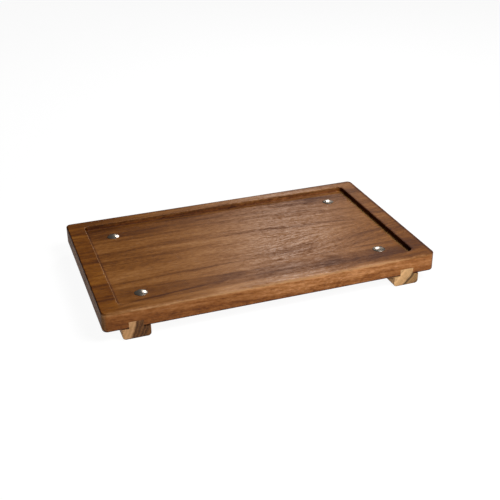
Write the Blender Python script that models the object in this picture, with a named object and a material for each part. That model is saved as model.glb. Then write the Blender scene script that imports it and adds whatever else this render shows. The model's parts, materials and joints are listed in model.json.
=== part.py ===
"""Wooden serving board: a slab glued up from staves, with a tray recess routed into its top, two T-section
runners housed across its underside, and a domed steel stud near each corner of the recess.

All sizes are in metres. The origin is on the table under the middle of the board, with X along the grain,
Y from front to back and Z up.
"""

import math

import bmesh
import bpy

# Slab
BOARD_LENGTH = 0.400
BOARD_WIDTH = 0.235
BOARD_THICKNESS = 0.024
BOARD_CORNER_RADIUS = 0.0060
BOARD_UPPER_EDGE_RADIUS = 0.0018
BOARD_LOWER_EDGE_RADIUS = 0.0030
STAVE_NAMES = ("front_stave", "front_middle_stave", "back_middle_stave", "back_stave")
GLUE_LINE = 0.0003

# Tray recess
END_RIM_WIDTH = 0.0213
SIDE_RIM_WIDTH = 0.0150
RECESS_DEPTH = 0.0065
RECESS_CORNER_RADIUS = 0.0065
RECESS_COVE_RADIUS = 0.0010
RIM_ARRIS_RADIUS = 0.0007

# Runners and the housings that take their tongues
RUNNER_BLOCK_WIDTH = 0.0320
RUNNER_BLOCK_HEIGHT = 0.0125
RUNNER_EDGE_RADIUS = 0.0040
RUNNER_END_ARRIS = 0.0008
TONGUE_WIDTH = 0.0165
TONGUE_HEIGHT = 0.0090
RUNNER_END_INSET = 0.0365
HOUSING_CLEARANCE = 0.0003

# Studs and the blind holes that take their shanks
STUD_DIAMETER = 0.0150
STUD_HEIGHT = 0.0022
STUD_BAND_HEIGHT = 0.0004
SHANK_DIAMETER = 0.0040
SHANK_LENGTH = 0.0090
SHANK_POINT_LENGTH = 0.0020
STUD_END_INSET = 0.0525
STUD_SIDE_INSET = 0.0425
STUD_CLEARANCE = 0.0003

# How finely round forms are divided
CORNER_STEPS = 6
ROUND_STEPS = 5
DOME_STEPS = 8
STUD_SEGMENTS = 40
HOLE_SEGMENTS = 24
ARRIS_SEGMENTS = 3
SMOOTH_ANGLE = math.radians(35)

# How far a cutter reaches past the wood it cuts, and the distance at which coincident points become one
CUT_OVERSHOOT = 0.005
MERGE_DISTANCE = 1e-6

# Finishes: linear base colour, roughness and metallic value
STAVE_COLOURS = (
    (0.200, 0.085, 0.034),
    (0.240, 0.108, 0.046),
    (0.225, 0.098, 0.040),
    (0.190, 0.080, 0.032),
)
LEFT_RUNNER_COLOUR = (0.300, 0.160, 0.070)
RIGHT_RUNNER_COLOUR = (0.520, 0.330, 0.160)
STEEL_COLOUR = (0.720, 0.700, 0.670)
OILED_WOOD_ROUGHNESS = 0.48
POLISHED_STEEL_ROUGHNESS = 0.12

# Heights that the sizes above lead to
SLAB_BOTTOM = RUNNER_BLOCK_HEIGHT + HOUSING_CLEARANCE
SLAB_TOP = SLAB_BOTTOM + BOARD_THICKNESS
RECESS_FLOOR = SLAB_TOP - RECESS_DEPTH


def clear_scene():
    """Remove every object of the scene."""
    for obj in list(bpy.data.objects):
        bpy.data.objects.remove(obj)


def finish(name, colour, roughness, metallic):
    """A plain surface finish."""
    material = bpy.data.materials.new(name)
    material.use_nodes = True
    shader = material.node_tree.nodes["Principled BSDF"]
    shader.inputs["Base Color"].default_value = (*colour, 1.0)
    shader.inputs["Roughness"].default_value = roughness
    shader.inputs["Metallic"].default_value = metallic
    return material


def place(name, shape, assembly, location):
    """Turn a shape into a named object of the assembly at its place."""
    mesh = bpy.data.meshes.new(name)
    shape.to_mesh(mesh)
    shape.free()
    mesh.shade_smooth()
    mesh.set_sharp_from_angle(angle=SMOOTH_ANGLE)
    obj = bpy.data.objects.new(name, mesh)
    bpy.context.scene.collection.objects.link(obj)
    obj.parent = assembly
    obj.location = location
    return obj


def place_cutter(name, shape, assembly, location):
    """A helper that shapes the wood and isn't a piece of the board."""
    cutter = place(name, shape, assembly, location)
    cutter.hide_render = True
    cutter.display_type = "WIRE"
    return cutter


def combine(piece, cutter, operation):
    """Shape a piece by a helper."""
    modifier = piece.modifiers.new(cutter.name, "BOOLEAN")
    modifier.operation = operation
    modifier.solver = "EXACT"
    modifier.object = cutter


def quarter_round(radius):
    """Distances of the points of a quarter round from the two faces that it joins."""
    for step in range(ROUND_STEPS + 1):
        angle = math.pi / 2 * step / ROUND_STEPS
        yield radius * (1 - math.sin(angle)), radius * (1 - math.cos(angle))


def rounded_outline(length, width, radius):
    """Points of a rectangle with rounded corners, counter-clockwise."""
    for corner, (side_x, side_y) in enumerate(((1, 1), (-1, 1), (-1, -1), (1, -1))):
        for step in range(CORNER_STEPS + 1):
            angle = math.pi / 2 * (corner + step / CORNER_STEPS)
            yield (
                side_x * (length / 2 - radius) + radius * math.cos(angle),
                side_y * (width / 2 - radius) + radius * math.sin(angle),
            )


def lofted_block(length, width, corner_radius, levels):
    """A solid through rounded rectangles, each given by its inset from the full outline and its height."""
    shape = bmesh.new()
    rings = []
    for inset, height in levels:
        outline = rounded_outline(length - 2 * inset, width - 2 * inset, corner_radius - inset)
        rings.append([shape.verts.new((x, y, height)) for x, y in outline])
    for lower, upper in zip(rings, rings[1:]):
        for i in range(len(lower)):
            j = (i + 1) % len(lower)
            shape.faces.new((lower[i], lower[j], upper[j], upper[i]))
    shape.faces.new(reversed(rings[0]))
    shape.faces.new(rings[-1])
    return shape


def box(length, width, height):
    """A plain block, centred on its origin."""
    shape = bmesh.new()
    bmesh.ops.create_cube(shape, size=1.0)
    bmesh.ops.scale(shape, vec=(length, width, height), verts=shape.verts)
    return shape


def slab_outline(assembly):
    """The outside of the whole glued-up slab: rounded corners in plan and rounded edges all round."""
    lower_radius = min(BOARD_LOWER_EDGE_RADIUS, BOARD_CORNER_RADIUS)
    upper_radius = min(BOARD_UPPER_EDGE_RADIUS, BOARD_CORNER_RADIUS)
    lower = list(quarter_round(lower_radius))
    upper = [(inset, BOARD_THICKNESS - drop) for drop, inset in quarter_round(upper_radius)]
    shape = lofted_block(BOARD_LENGTH, BOARD_WIDTH, BOARD_CORNER_RADIUS, lower + upper)
    return place_cutter("slab_outline", shape, assembly, (0, 0, SLAB_BOTTOM))


def recess_cutter(assembly):
    """The routed tray: upright walls with a small cove round the floor and an eased arris round the rim."""
    length = BOARD_LENGTH - 2 * END_RIM_WIDTH
    width = BOARD_WIDTH - 2 * SIDE_RIM_WIDTH
    cove_radius = min(RECESS_COVE_RADIUS, RECESS_CORNER_RADIUS)
    cove = list(quarter_round(cove_radius))
    arris = [(-outset, RECESS_DEPTH - drop) for drop, outset in quarter_round(RIM_ARRIS_RADIUS)]
    mouth = [(-RIM_ARRIS_RADIUS, RECESS_DEPTH + CUT_OVERSHOOT)]
    shape = lofted_block(length, width, RECESS_CORNER_RADIUS, cove + arris + mouth)
    return place_cutter("recess_cutter", shape, assembly, (0, 0, RECESS_FLOOR))


def housing_cutter(name, assembly, centre_x):
    """The through housing across the underside that takes a runner's tongue."""
    width = TONGUE_WIDTH + 2 * HOUSING_CLEARANCE
    height = TONGUE_HEIGHT + CUT_OVERSHOOT
    shape = box(width, BOARD_WIDTH + 2 * CUT_OVERSHOOT, height)
    middle = SLAB_BOTTOM + TONGUE_HEIGHT - height / 2
    return place_cutter(name, shape, assembly, (centre_x, 0, middle))


def shank_hole_cutter(name, assembly, centre):
    """The blind hole in the recess floor that takes a stud's shank."""
    radius = SHANK_DIAMETER / 2 + STUD_CLEARANCE
    depth = SHANK_LENGTH + STUD_CLEARANCE + CUT_OVERSHOOT
    shape = bmesh.new()
    bmesh.ops.create_cone(
        shape, cap_ends=True, segments=HOLE_SEGMENTS, radius1=radius, radius2=radius, depth=depth
    )
    middle = RECESS_FLOOR + CUT_OVERSHOOT - depth / 2
    return place_cutter(name, shape, assembly, (*centre, middle))


def stave(index, assembly, outline, cutters):
    """One stave of the slab, from glue line to glue line, shaped with the rest of the slab."""
    name = STAVE_NAMES[index]
    pitch = BOARD_WIDTH / len(STAVE_NAMES)
    front = index * pitch - BOARD_WIDTH / 2
    back = front + pitch
    front += -CUT_OVERSHOOT if index == 0 else GLUE_LINE / 2
    back += CUT_OVERSHOOT if index == len(STAVE_NAMES) - 1 else -GLUE_LINE / 2
    shape = box(BOARD_LENGTH + 2 * CUT_OVERSHOOT, back - front, BOARD_THICKNESS + 2 * CUT_OVERSHOOT)
    piece = place(name, shape, assembly, (0, (front + back) / 2, SLAB_BOTTOM + BOARD_THICKNESS / 2))
    combine(piece, outline, "INTERSECT")
    for cutter in cutters:
        combine(piece, cutter, "DIFFERENCE")
    piece.data.materials.append(finish(f"{name}_wood", STAVE_COLOURS[index], OILED_WOOD_ROUGHNESS, 0.0))


def runner(name, assembly, centre_x, colour):
    """A T-section runner as long as the board is wide: a tongue on a block with rounded lower edges."""
    half_block = RUNNER_BLOCK_WIDTH / 2
    half_tongue = TONGUE_WIDTH / 2
    right = [(half_block - inset, rise) for inset, rise in quarter_round(RUNNER_EDGE_RADIUS)]
    right.append((half_block, RUNNER_BLOCK_HEIGHT))
    right.append((half_tongue, RUNNER_BLOCK_HEIGHT))
    right.append((half_tongue, RUNNER_BLOCK_HEIGHT + TONGUE_HEIGHT))
    left = [(-x, z) for x, z in reversed(right)]
    shape = bmesh.new()
    front = shape.faces.new([shape.verts.new((x, -BOARD_WIDTH / 2, z)) for x, z in right + left])
    grown = bmesh.ops.extrude_face_region(shape, geom=[front], use_keep_orig=True)
    end = [item for item in grown["geom"] if isinstance(item, bmesh.types.BMVert)]
    bmesh.ops.translate(shape, vec=(0, BOARD_WIDTH, 0), verts=end)
    bmesh.ops.recalc_face_normals(shape, faces=shape.faces)
    ease_runner_ends(shape)
    piece = place(name, shape, assembly, (centre_x, 0, 0))
    piece.data.materials.append(finish(f"{name}_wood", colour, OILED_WOOD_ROUGHNESS, 0.0))


def ease_runner_ends(shape):
    """Ease the arrises of the block's two ends, and leave the tongue's ends sharp."""
    arrises = []
    for edge in shape.edges:
        first, second = (vert.co for vert in edge.verts)
        on_end = abs(first.y - second.y) < MERGE_DISTANCE
        if on_end and (first.z + second.z) / 2 < RUNNER_BLOCK_HEIGHT - MERGE_DISTANCE:
            arrises.append(edge)
    bmesh.ops.bevel(
        shape, geom=arrises, offset=RUNNER_END_ARRIS, segments=ARRIS_SEGMENTS, profile=0.5, affect="EDGES"
    )


def stud(name, assembly, centre):
    """A domed stud and its pointed shank, turned from one profile about the Z axis."""
    radius = STUD_DIAMETER / 2
    cap = STUD_HEIGHT - STUD_BAND_HEIGHT
    sphere = (radius**2 + cap**2) / (2 * cap)
    sweep = math.atan2(radius, sphere - cap)
    profile = []
    for step in range(DOME_STEPS + 1):
        angle = sweep * step / DOME_STEPS
        profile.append((sphere * math.sin(angle), STUD_HEIGHT - sphere * (1 - math.cos(angle))))
    profile.append((radius, 0))
    profile.append((SHANK_DIAMETER / 2, 0))
    profile.append((SHANK_DIAMETER / 2, SHANK_POINT_LENGTH - SHANK_LENGTH))
    profile.append((0, -SHANK_LENGTH))
    shape = bmesh.new()
    points = [shape.verts.new((x, 0, z)) for x, z in profile]
    lines = [shape.edges.new(pair) for pair in zip(points, points[1:])]
    bmesh.ops.spin(
        shape, geom=points + lines, cent=(0, 0, 0), axis=(0, 0, 1), angle=math.tau, steps=STUD_SEGMENTS
    )
    bmesh.ops.remove_doubles(shape, verts=shape.verts, dist=MERGE_DISTANCE)
    bmesh.ops.recalc_face_normals(shape, faces=shape.faces)
    piece = place(name, shape, assembly, (*centre, RECESS_FLOOR + STUD_CLEARANCE))
    piece.data.materials.append(finish(f"{name}_steel", STEEL_COLOUR, POLISHED_STEEL_ROUGHNESS, 1.0))


def stud_centres():
    """The four studs' names and places in plan."""
    reach_x = BOARD_LENGTH / 2 - STUD_END_INSET
    reach_y = BOARD_WIDTH / 2 - STUD_SIDE_INSET
    for depth_word, side_y in (("front", -1), ("back", 1)):
        for side_word, side_x in (("left", -1), ("right", 1)):
            yield f"{depth_word}_{side_word}_stud", (side_x * reach_x, side_y * reach_y)


def main():
    """Build the board from its cutters, staves, runners and studs."""
    clear_scene()
    assembly = bpy.data.objects.new("serving_board", None)
    bpy.context.scene.collection.objects.link(assembly)
    runner_x = BOARD_LENGTH / 2 - RUNNER_END_INSET
    runners = (("left_runner", -runner_x, LEFT_RUNNER_COLOUR), ("right_runner", runner_x, RIGHT_RUNNER_COLOUR))
    outline = slab_outline(assembly)
    cutters = [recess_cutter(assembly)]
    for name, centre_x, _ in runners:
        cutters.append(housing_cutter(f"{name}_housing", assembly, centre_x))
    for name, centre in stud_centres():
        cutters.append(shank_hole_cutter(f"{name}_hole", assembly, centre))
    for index in range(len(STAVE_NAMES)):
        stave(index, assembly, outline, cutters)
    for name, centre_x, colour in runners:
        runner(name, assembly, centre_x, colour)
    for name, centre in stud_centres():
        stud(name, assembly, centre)


main()
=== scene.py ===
"""Looks of a wooden serving board.

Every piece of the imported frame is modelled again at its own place, with finer roundings and closed joints,
and dressed in its finish: four oiled staves with a tray recess routed across them, two T-section runners
let into their underside, and four polished domed studs on the recess floor. All sizes are in metres, with X
along the grain and Z up.
"""

import json
import logging
import math
from collections.abc import Callable, Sequence
from dataclasses import dataclass
from enum import Enum
from functools import reduce

import bmesh
import bpy
from bpy.types import Material, Node, NodeSocket, NodeTree, Object
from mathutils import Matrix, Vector


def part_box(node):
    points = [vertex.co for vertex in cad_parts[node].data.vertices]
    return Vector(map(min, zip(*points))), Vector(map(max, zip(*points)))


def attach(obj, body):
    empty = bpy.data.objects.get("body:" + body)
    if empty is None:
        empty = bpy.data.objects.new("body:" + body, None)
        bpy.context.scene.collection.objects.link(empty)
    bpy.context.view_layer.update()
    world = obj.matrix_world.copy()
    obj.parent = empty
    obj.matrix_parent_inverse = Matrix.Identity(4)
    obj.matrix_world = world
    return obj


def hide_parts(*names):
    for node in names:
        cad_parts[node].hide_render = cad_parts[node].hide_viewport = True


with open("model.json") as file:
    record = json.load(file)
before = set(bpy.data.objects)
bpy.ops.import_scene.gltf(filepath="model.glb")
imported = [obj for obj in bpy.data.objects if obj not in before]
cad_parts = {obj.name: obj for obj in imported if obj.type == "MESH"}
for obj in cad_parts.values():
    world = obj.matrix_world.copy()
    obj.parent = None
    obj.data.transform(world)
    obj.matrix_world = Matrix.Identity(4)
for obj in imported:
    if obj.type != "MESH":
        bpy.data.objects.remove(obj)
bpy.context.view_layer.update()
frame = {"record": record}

LOG = logging.getLogger("serving_board")

BODY = "root"
SAME_PLACE = 1e-6
SMOOTH_ANGLE = math.radians(40)
CUT = "cut"
PAINTED_MARK = "wear"

Colour = tuple[float, float, float]
Point = tuple[float, float, float]
Value = float | NodeSocket
Direction = Point | Vector | NodeSocket
EdgeTest = Callable[[Vector, Vector], bool]
FaceTest = Callable[[Vector, Vector], bool]


class Slot(Enum):
    """The record's material slots."""

    SLAB = "slab_wood"
    RUNNER = "runner_wood"
    STUD = "stud_steel"


class Figure(Enum):
    """How a runner's blank was sawn, as its end grain shows."""

    HALF_HEARTWOOD = "sapwood on one side, heartwood on the other"
    HEART_STREAK = "sapwood crossed by one dark streak"


class Graph:
    """A node tree that is written as expressions."""

    def __init__(self, tree: NodeTree) -> None:
        """Start from an empty tree."""
        self.tree = tree
        tree.nodes.clear()

    def feed(self, socket: NodeSocket, value: object) -> None:
        """Give an input a value, or link it to another node's output.

        Args:
            socket: the input.
            value: a plain value, or the output that it takes.
        """
        if isinstance(value, NodeSocket):
            self.tree.links.new(value, socket)
        else:
            socket.default_value = value

    def node(self, kind: str, settings: dict[str, object] | None = None, **inputs: object) -> Node:
        """Add a node.

        Args:
            kind: Blender's name for the node's type.
            settings: properties to set on it.
            inputs: what its inputs take, by name with _ for a space.

        Returns:
            The new node.
        """
        node = self.tree.nodes.new(kind)
        for name, setting in (settings or {}).items():
            setattr(node, name, setting)
        for name, value in inputs.items():
            self.feed(node.inputs[name.replace("_", " ")], value)
        return node

    def operate(self, kind: str, operation: str, values: Sequence[object]) -> Node:
        """Add a node that works on operands.

        Args:
            kind: Blender's name for the node's type.
            operation: Blender's name for the operation.
            values: the operands.

        Returns:
            The new node.
        """
        node = self.node(kind, {"operation": operation})
        for socket, value in zip(node.inputs, values):
            self.feed(socket, value)
        return node

    def math(self, operation: str, *values: Value) -> NodeSocket:
        """Work out a number."""
        return self.operate("ShaderNodeMath", operation, values).outputs["Value"]

    def vector(self, operation: str, *values: Direction) -> NodeSocket:
        """Work out a vector, or the length or product of vectors."""
        output = "Value" if operation in {"LENGTH", "DOT_PRODUCT"} else "Vector"
        return self.operate("ShaderNodeVectorMath", operation, values).outputs[output]

    def total(self, *values: Value) -> NodeSocket:
        """Add numbers up."""
        return reduce(lambda so_far, value: self.math("ADD", so_far, value), values)

    def less(self, value: Value, taken: Value) -> NodeSocket:
        """Take one number off another."""
        return self.math("SUBTRACT", value, taken)

    def product(self, *values: Value) -> NodeSocket:
        """Multiply numbers."""
        return reduce(lambda so_far, value: self.math("MULTIPLY", so_far, value), values)

    def highest(self, *values: Value) -> NodeSocket:
        """Take the highest of some numbers."""
        return reduce(lambda so_far, value: self.math("MAXIMUM", so_far, value), values)

    def join(self, x: Value, y: Value, z: Value) -> NodeSocket:
        """Make a vector of three numbers."""
        return self.node("ShaderNodeCombineXYZ", X=x, Y=y, Z=z).outputs["Vector"]

    def split(self, vector: NodeSocket) -> Sequence[NodeSocket]:
        """Take a vector apart into its three numbers."""
        return self.node("ShaderNodeSeparateXYZ", Vector=vector).outputs

    def place(self) -> NodeSocket:
        """Read the place in the piece, in metres."""
        return self.node("ShaderNodeTexCoord").outputs["Object"]

    def mark(self, name: str, output: str) -> NodeSocket:
        """Read what is noted on the piece's faces."""
        return self.node("ShaderNodeAttribute", {"attribute_name": name}).outputs[output]

    def noise(
        self, place: NodeSocket, scale: Point, detail: float, roughness: float,
        shift: Point = (0.0, 0.0, 0.0), output: str = "Fac"
    ) -> NodeSocket:
        """Add a cloudy pattern of 0 to 1.

        Args:
            place: where the pattern is read.
            scale: its repeats per metre along each axis.
            detail: number of finer layers.
            roughness: weight of the finer layers.
            shift: its offset.
            output: Fac for one number, Color for three.

        Returns:
            The pattern.
        """
        moved = self.node("ShaderNodeMapping", Vector=place, Scale=scale, Location=shift).outputs["Vector"]
        cloud = self.node("ShaderNodeTexNoise", Vector=moved, Scale=1.0, Detail=detail, Roughness=roughness)
        return cloud.outputs[output]

    def swing(self, pattern: NodeSocket, reach: Value) -> NodeSocket:
        """Turn a pattern of 0 to 1 into one that swings about 0, over the given reach in all."""
        return self.product(self.less(pattern, 0.5), reach)

    def step(
        self, value: NodeSocket, start: float, stop: float, low: float = 0.0, high: float = 1.0
    ) -> NodeSocket:
        """Pass smoothly from one level to another.

        Args:
            value: what the step is taken over.
            start: where it begins.
            stop: where it ends.
            low: level before the step.
            high: level after it.

        Returns:
            The level.
        """
        levels = {"From_Min": start, "From_Max": stop, "To_Min": low, "To_Max": high}
        node = self.node("ShaderNodeMapRange", {"interpolation_type": "SMOOTHSTEP"}, Value=value, **levels)
        return node.outputs["Result"]

    def bell(self, value: NodeSocket, middle: float, half_width: float) -> NodeSocket:
        """Rise to 1 at a place, and fall to about a third at half the width on both sides of it."""
        offset = self.math("DIVIDE", self.less(value, middle), half_width)
        return self.math("EXPONENT", self.product(offset, offset, -1.0))

    def ramp(self, value: NodeSocket, stops: Sequence[tuple[float, Colour]]) -> NodeSocket:
        """Colour a pattern.

        Args:
            value: the pattern, 0 to 1.
            stops: places along it with their colours.

        Returns:
            The colour.
        """
        node = self.node("ShaderNodeValToRGB", Fac=value)
        elements = node.color_ramp.elements
        while len(elements) < len(stops):
            elements.new(0.5)
        for element, (place, colour) in zip(elements, stops):
            element.position = place
            element.color = (*colour, 1.0)
        return node.outputs["Color"]

    def mix(self, share: Value, first: object, second: object, blend: str = "MIX") -> NodeSocket:
        """Blend two colours.

        Args:
            share: how much of the second shows.
            first: a colour.
            second: a colour.
            blend: Blender's name for the way they blend.

        Returns:
            The colour.
        """
        node = self.node("ShaderNodeMix", {"data_type": "RGBA", "blend_type": blend})
        for index, value in ((0, share), (6, first), (7, second)):
            self.feed(node.inputs[index], (*value, 1.0) if isinstance(value, tuple) else value)
        return node.outputs[2]

    def bump(self, relief: NodeSocket, depth: float, strength: float) -> NodeSocket:
        """Raise a relief that is so many metres deep, and give the surface's normal."""
        node = self.node("ShaderNodeBump", Height=relief, Distance=depth, Strength=strength)
        return node.outputs["Normal"]

    def surface(self, **inputs: object) -> None:
        """End the tree in a Principled surface with the given inputs."""
        shader = self.node("ShaderNodeBsdfPrincipled", **inputs)
        self.node("ShaderNodeOutputMaterial", Surface=shader.outputs["BSDF"])


def new_material(name: str) -> tuple[Material, Graph]:
    """Add an empty material.

    Args:
        name: the finish it holds.

    Returns:
        The material and its graph.
    """
    material = bpy.data.materials.new(name)
    material.use_nodes = True
    return material, Graph(material.node_tree)


@dataclass(frozen=True)
class Tray:
    """Where the slab and its recess end, as distances from the board's middle and heights above the table.

    Attributes:
        end: half the slab's length.
        side: half its width.
        end_wall: distance of the recess's end walls.
        side_wall: distance of its side walls.
        floor: height of its floor.
        top: height of the rim.
    """

    end: float
    side: float
    end_wall: float
    side_wall: float
    floor: float
    top: float


class Spot:
    """A place on a stave, as its material reads it.

    Attributes:
        graph: the material's graph.
        tray: where the slab and its recess end.
        place: the place in the board.
        along: its distance to the right of the board's middle.
        across: its distance behind the middle.
        up: its height.
        off_middle: its distance along the board from the middle, to either side.
        off_centre: its distance across the board from the centre line, to either side.
        cut_across: how squarely its face is cut across the fibres.
        at_side: how squarely its face looks to the front or back.
        wear: how far its face is painted pale as a highlight, or painted dark as shade below zero.
        end: 1 on end grain.
        in_recess: 1 between the recess's end walls.
        within: 1 between all its walls.
        on_floor: 1 on its floor.
    """

    def __init__(self, graph: Graph, tray: Tray) -> None:
        """Read the place and what is noted on its face.

        Args:
            graph: the material's graph.
            tray: where the slab and its recess end.
        """
        self.graph = graph
        self.tray = tray
        self.place = graph.place()
        self.along, self.across, self.up = graph.split(self.place)
        self.off_middle = graph.math("ABSOLUTE", self.along)
        self.off_centre = graph.math("ABSOLUTE", self.across)
        self.cut_across, self.at_side, _ = graph.split(graph.mark(CUT, "Vector"))
        self.wear = graph.mark(PAINTED_MARK, "Fac")
        self.end = graph.step(self.cut_across, 0.5, 0.95)
        self.in_recess = graph.step(self.off_middle, tray.end_wall + 0.0073, tray.end_wall + 0.0023)
        inside_sides = graph.step(self.off_centre, tray.side_wall, tray.side_wall - 0.0015)
        self.within = graph.product(self.in_recess, inside_sides)
        above = graph.step(self.up, tray.floor - 0.0013, tray.floor - 0.0005)
        below = graph.step(self.up, tray.floor + 0.0007, tray.floor + 0.0003)
        self.on_floor = graph.product(above, below, self.within)


@dataclass(frozen=True)
class Streak:
    """A vein of darker or paler growth along a stave, or a line of painted highlight.

    Attributes:
        lane: distance of its middle from the board's centre line, towards the back.
        half_width: half its width.
        start: where it begins along the board.
        stop: where it ends.
        shade: how much it darkens the wood; below zero it pales it.
        height: height of its middle; that of the recess floor unless it shows elsewhere.
        tallness: its height over its width.
        slant: how far it drifts to the back in each metre along the board, about its middle.
        rise: how far it climbs in each metre, apart from the stave's own grain.
    """

    lane: float
    half_width: float
    start: float
    stop: float
    shade: float
    height: float | None = None
    tallness: float = 2.5
    slant: float = 0.0
    rise: float = 0.0

    def shown(self, spot: Spot, straight: NodeSocket) -> NodeSocket:
        """Work out how much the vein darkens the wood.

        Args:
            spot: the place on the stave.
            straight: the place in a straight-grained stave.

        Returns:
            The shade that it takes off.
        """
        graph = spot.graph
        height = spot.tray.floor if self.height is None else self.height
        offset = graph.vector("SUBTRACT", straight, (0.0, self.lane, height))
        if self.slant or self.rise:
            from_middle = graph.less(spot.along, 0.5 * (self.start + self.stop))
            back = graph.product(from_middle, self.slant)
            up = graph.product(from_middle, self.rise)
            offset = graph.vector("SUBTRACT", offset, graph.join(0.0, back, up))
        reach = (0.0, 1.0 / self.half_width, 1.0 / (self.tallness * self.half_width))
        scaled = graph.vector("MULTIPLY", offset, reach)
        bell = graph.math("EXPONENT", graph.product(graph.vector("DOT_PRODUCT", scaled, scaled), -1.0))
        fade = 0.25 * (self.stop - self.start)
        begun = graph.step(spot.along, self.start - fade, self.start + fade)
        ended = graph.step(spot.along, self.stop - fade, self.stop + fade, self.shade, 0.0)
        return graph.product(begun, ended, bell)


@dataclass(frozen=True)
class StaveWood:
    """Oiled brown hardwood with its grain along X, as a solid pattern that runs through a stave.

    Attributes:
        name: name of the material.
        pith: place across and up of the tree's centre line, which the growth rings go round.
        lean: how far the grain drifts to the back, and up, in each metre of length.
        sweep: how far the grain swings to the back at the right-hand end.
        curl: reach of the ripple in the grain.
        tone: overall shift towards the pale (above zero) or the dark end of the wood's colours.
        seed: offset that gives the stave a pattern of its own.
        contrast: strength of its figure.
        gloss_swing: how much smoother its pale fibres are than its dark ones.
        rim_shades: how much darker it is on the left-hand and the right-hand rim.
        streaks: its distinct veins, and lines of painted highlight.
    """

    name: str
    pith: tuple[float, float]
    lean: tuple[float, float]
    sweep: float
    curl: float
    tone: float
    seed: float
    contrast: float = 1.25
    gloss_swing: float = 0.42
    rim_shades: tuple[float, float] = (0.20, 0.16)
    streaks: tuple[Streak, ...] = ()

    SHADES = (
        (0.0, (0.076, 0.0195, 0.0013)),
        (0.2, (0.141, 0.0430, 0.0032)),
        (0.4, (0.219, 0.0775, 0.0120)),
        (0.6, (0.297, 0.1210, 0.0300)),
        (0.8, (0.389, 0.1770, 0.0600)),
        (1.0, (0.506, 0.2550, 0.1050)),
    )
    PALEST = 1.25
    PORE_SHADE = (0.50, 0.44, 0.38)
    END_SHADES = ((0.1, (0.100, 0.0340, 0.0050)), (0.9, (0.250, 0.0950, 0.0160)))
    # Colour that painted shade multiplies in.
    PAINTED_SHADE = (0.24, 0.10, 0.06)
    # Colour of painted highlights.
    HIGHLIGHT_COLOUR = (0.680, 0.390, 0.150)
    SIDE_TINT = (1.09, 0.95, 0.82)
    LEFT_RIM_TINT = (1.0, 0.93, 0.50)
    FIBRES = (8.0, 200.0, 200.0)
    DASHES = (40.0, 280.0, 280.0)
    SPECKS = (170.0, 400.0, 400.0)
    PORES = (110.0, 800.0, 800.0)
    WANDER = (5.0, 10.0, 10.0)
    RIPPLE = (42.0, 75.0, 75.0)
    BROAD_RINGS = 55.0
    NARROW_RINGS = 260.0
    ROUND_FIBRES = (0.0, 0.707, 0.707)
    ONTO_RIM = 0.0003
    # Gap from the left wall to the dark line painted on the recess floor.
    FOOT_LINE_GAP = 0.0025
    CURLY_MIDDLE = 0.054
    CURLY_REACH = 0.090
    LEAST_CURL = 0.3
    SWEEP_LENGTH = 0.24
    LINE_WIDTH = 0.0012
    # Depth of the painted dark lines, and of the painted shade on the front lip.
    LINE_SHADE = 0.60
    FRONT_LIP = 0.6
    # Share of the pale strip at the right wall's foot, painted to lift the shadow the wall casts.
    SHADOW_LIFT = 0.34

    def material(self, tray: Tray) -> Material:
        """Build the finish.

        Args:
            tray: where the slab and its recess end.

        Returns:
            The material.
        """
        material, graph = new_material(self.name)
        spot = Spot(graph, tray)
        curly = graph.total(graph.bell(spot.along, self.CURLY_MIDDLE, self.CURLY_REACH), self.LEAST_CURL)
        straight = self._straightened(spot, curly)
        fibre = graph.noise(straight, self.FIBRES, 3.0, 0.65)
        dash = graph.noise(straight, self.DASHES, 2.0, 0.65)
        speck = graph.noise(straight, self.SPECKS, 2.0, 0.65)
        pores = graph.step(graph.noise(straight, self.PORES, 1.0, 0.5), 0.60, 0.72)
        fine = graph.total(graph.swing(fibre, 0.70), graph.swing(dash, 0.62), graph.swing(speck, 0.90))
        contrast = graph.math("MULTIPLY_ADD", spot.at_side, 0.8, self.contrast)
        contrast = graph.product(contrast, graph.math("MULTIPLY_ADD", curly, 0.30, 0.53))
        figure = self._figure(spot, straight, graph.product(fine, contrast))
        # Painted shade on the lips, outer edges and marked faces, and a dark line at the left wall's foot.
        shaded = self._painted_shade(spot)
        colour = self._bare_colour(spot, figure)
        colour = graph.mix(graph.product(pores, 0.5), colour, self.PORE_SHADE, "MULTIPLY")
        # Painted shade on the recess's end walls and wherever painted shade is marked.
        colour = graph.mix(graph.highest(self._end_wall_shade(spot), shaded), colour, self.PAINTED_SHADE, "MULTIPLY")
        # Painted highlights on marked arrises and corners, and painted light at the right wall's foot.
        colour = graph.mix(self._painted_highlights(spot), colour, self.HIGHLIGHT_COLOUR)
        polish = graph.step(graph.highest(spot.end, shaded), 0.0, 1.0, 0.46, 0.75)
        sheen = graph.math("MULTIPLY_ADD", fine, 0.7, graph.swing(figure, 0.45))
        sheen = graph.product(sheen, graph.math("MULTIPLY_ADD", curly, 1.2, 0.1), self.gloss_swing)
        roughness = graph.math("MINIMUM", graph.highest(graph.less(polish, sheen), 0.30), 0.85)
        relief = graph.less(graph.total(dash, graph.product(speck, 0.4)), pores)
        graph.surface(
            Base_Color=colour, Roughness=roughness, Specular_IOR_Level=0.20, Anisotropic=0.70,
            Tangent=graph.join(*self.ROUND_FIBRES), Normal=graph.bump(relief, 0.0002, 0.6)
        )
        return material

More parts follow.
